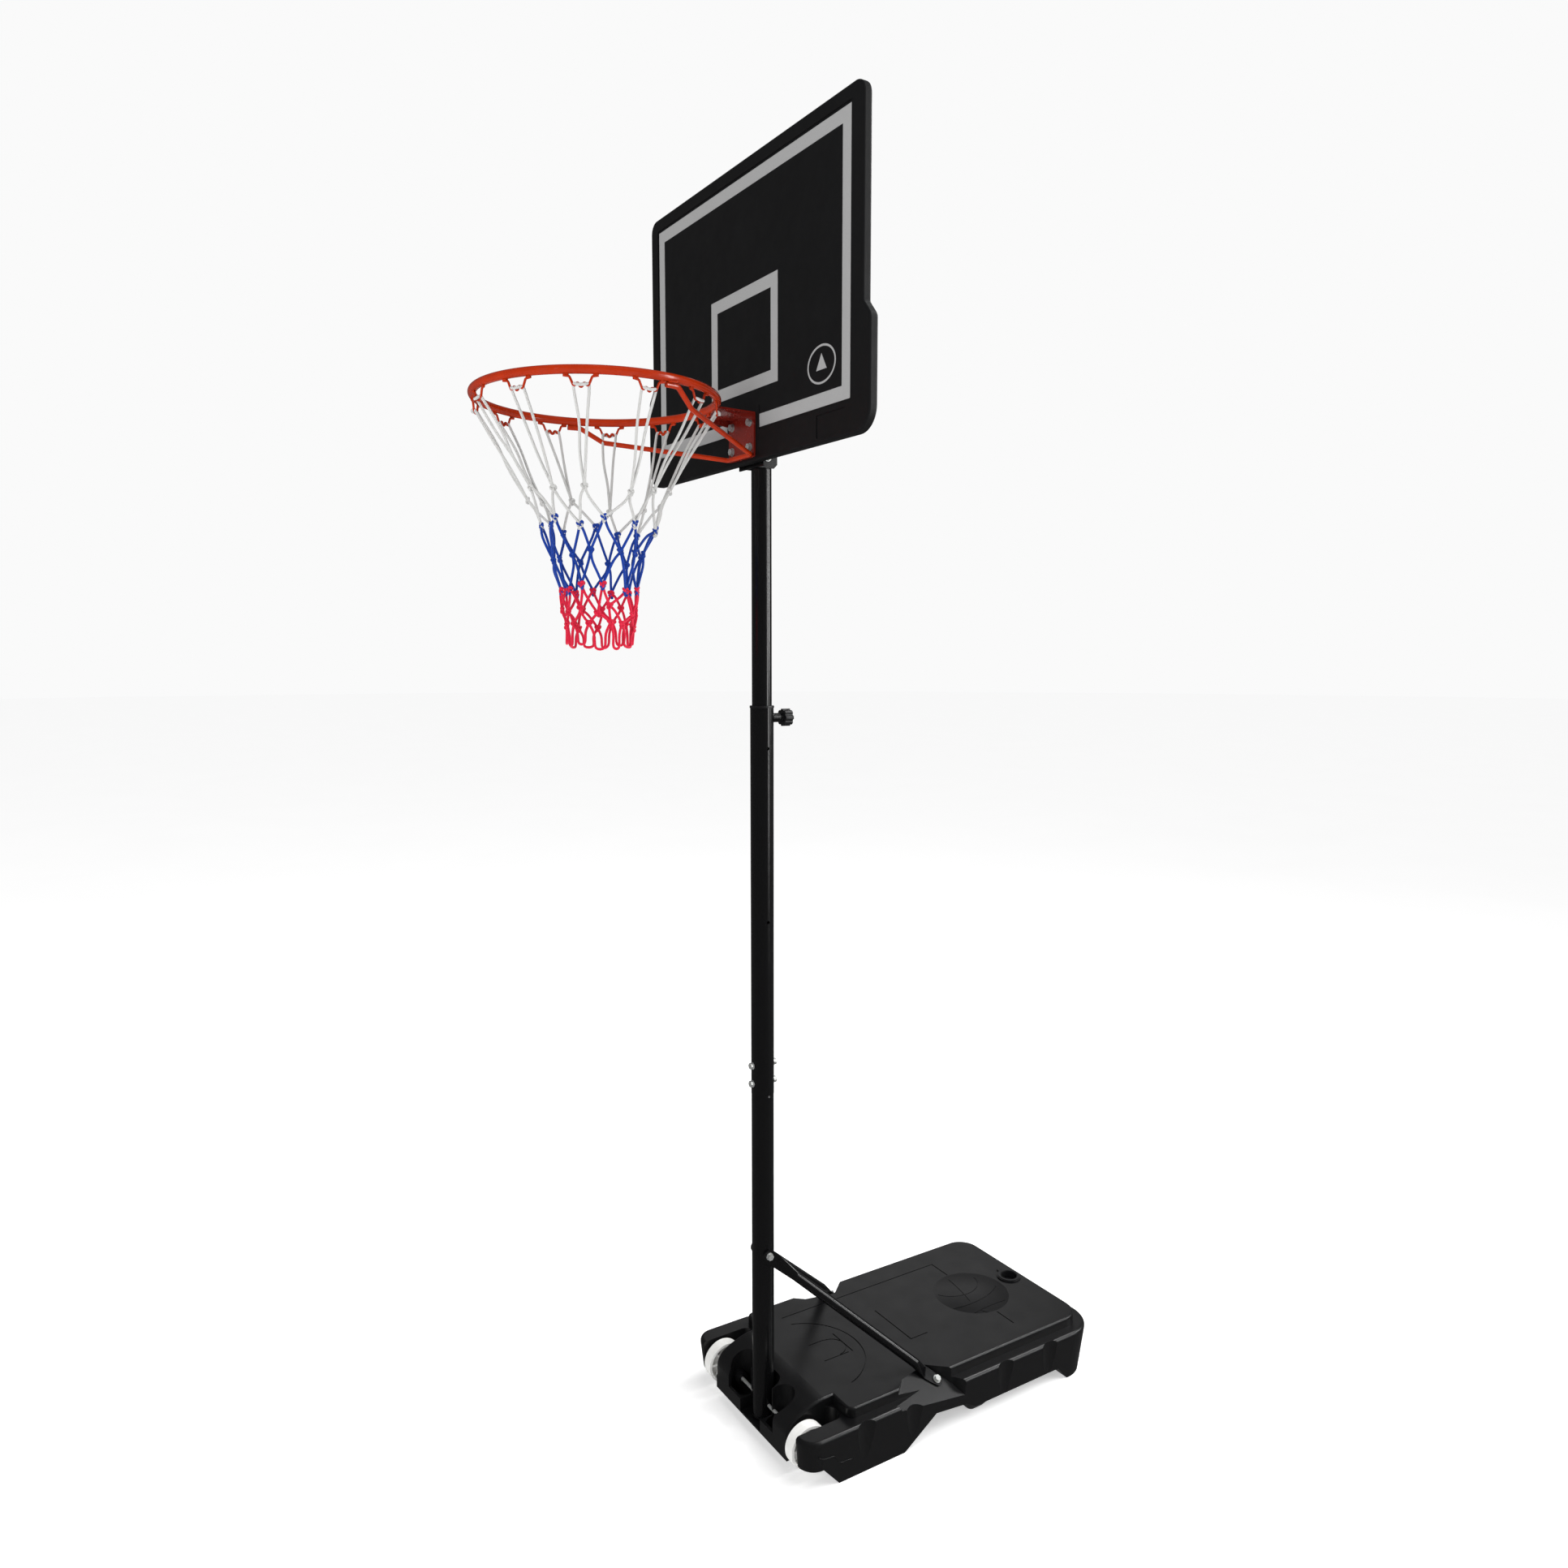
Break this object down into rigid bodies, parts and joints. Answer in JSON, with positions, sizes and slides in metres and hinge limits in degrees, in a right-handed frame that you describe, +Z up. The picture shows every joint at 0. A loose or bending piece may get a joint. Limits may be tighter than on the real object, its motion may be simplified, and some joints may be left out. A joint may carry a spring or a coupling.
{
  "type": "portable basketball hoop",
  "caption": "Free-standing basketball hoop: ring with net on a backboard, telescopic pole, braced to a fillable tank base with transport wheels.",
  "frame": {"origin": "on the pole's axis at floor level", "axes": "+Z up along the pole; the ring points along -Y; the tank runs back along +Y; +X runs across the board"},
  "size_m": [0.882, 1.444, 2.782],
  "materials": {
    "painted": "satin powder coat",
    "orange": "gloss powder coat",
    "bracket": "gloss powder coat",
    "zinc": "zinc plated",
    "brass": "turned",
    "tank": "blow-moulded, fine texture",
    "board": "blow-moulded, fine texture",
    "stripe": "printed ink",
    "plastic": "moulded",
    "wheel": "moulded",
    "net": "braided cord",
    "sand": "loose sand"
  },
  "bodies": {
    "stand": {"base_tank": "tank", "ballast_sand": "sand", "axle_rod": "zinc", "axle_caps": "zinc", "lower_pole": "painted", "pole_foot": "plastic", "middle_pole": "painted", "pole_collar": "plastic", "joint_bolts": "zinc", "joint_washers": "zinc", "joint_nuts": "zinc", "knob_boss": "painted", "strut_right": "painted", "strut_left": "painted", "strut_top_bolt": "zinc", "strut_top_washers": "zinc", "strut_top_nut": "zinc", "strut_base_bolts": "zinc", "strut_base_washers": "zinc", "strut_base_inserts": "brass"},
    "plug": {"filler_plug": "plastic"},
    "wheel_r": {"wheel_right": "wheel"},
    "wheel_l": {"wheel_left": "wheel"},
    "pad": {"clamp_pad": "plastic"},
    "knob": {"knob_screw": "zinc", "knob_grip": "plastic"},
    "mast": {"upper_pole": "painted", "upper_pole_glide": "plastic", "upper_pole_cap": "plastic", "mount_channel": "painted", "mount_bolts": "zinc", "mount_washers": "zinc", "mount_nuts": "zinc", "backboard": "board", "border_stripe": "stripe", "target_stripe": "stripe", "round_badge": "stripe", "ring_bracket": "bracket", "bracket_bolts": "zinc", "bracket_washers": "zinc", "bracket_nuts": "zinc", "rim_ring": "orange", "brace_rod": "orange", "net_hooks": "orange", "net": "net"}
  },
  "joints": [
    {"name": "height_slide", "type": "slide", "parent": "stand", "child": "mast", "axis": [0, 0, 1], "range_m": [-0.32, 0.3]},
    {"name": "wheel_right_spin", "type": "hinge", "parent": "stand", "child": "wheel_r", "pos_m": [0.1815, 0, 0.072], "axis": [1, 0, 0], "continuous": true},
    {"name": "wheel_left_spin", "type": "hinge", "parent": "stand", "child": "wheel_l", "pos_m": [-0.1815, 0, 0.072], "axis": [1, 0, 0], "continuous": true},
    {"name": "filler_plug_lift", "type": "slide", "parent": "stand", "child": "plug", "axis": [0, 0, 1], "range_m": [0, 0.06]},
    {"name": "pad_travel", "type": "slide", "parent": "stand", "child": "pad", "axis": [0, 1, 0], "range_m": [0, 0.003]},
    {"name": "knob_turn", "type": "hinge", "parent": "pad", "child": "knob", "pos_m": [0, 0.06, 1.645], "axis": [0, 1, 0], "range_deg": [0, 720]}
  ],
  "couplings": [
    {"joint": "pad_travel", "follows": "knob_turn", "m_per_rad": 0.00023873}
  ]
}
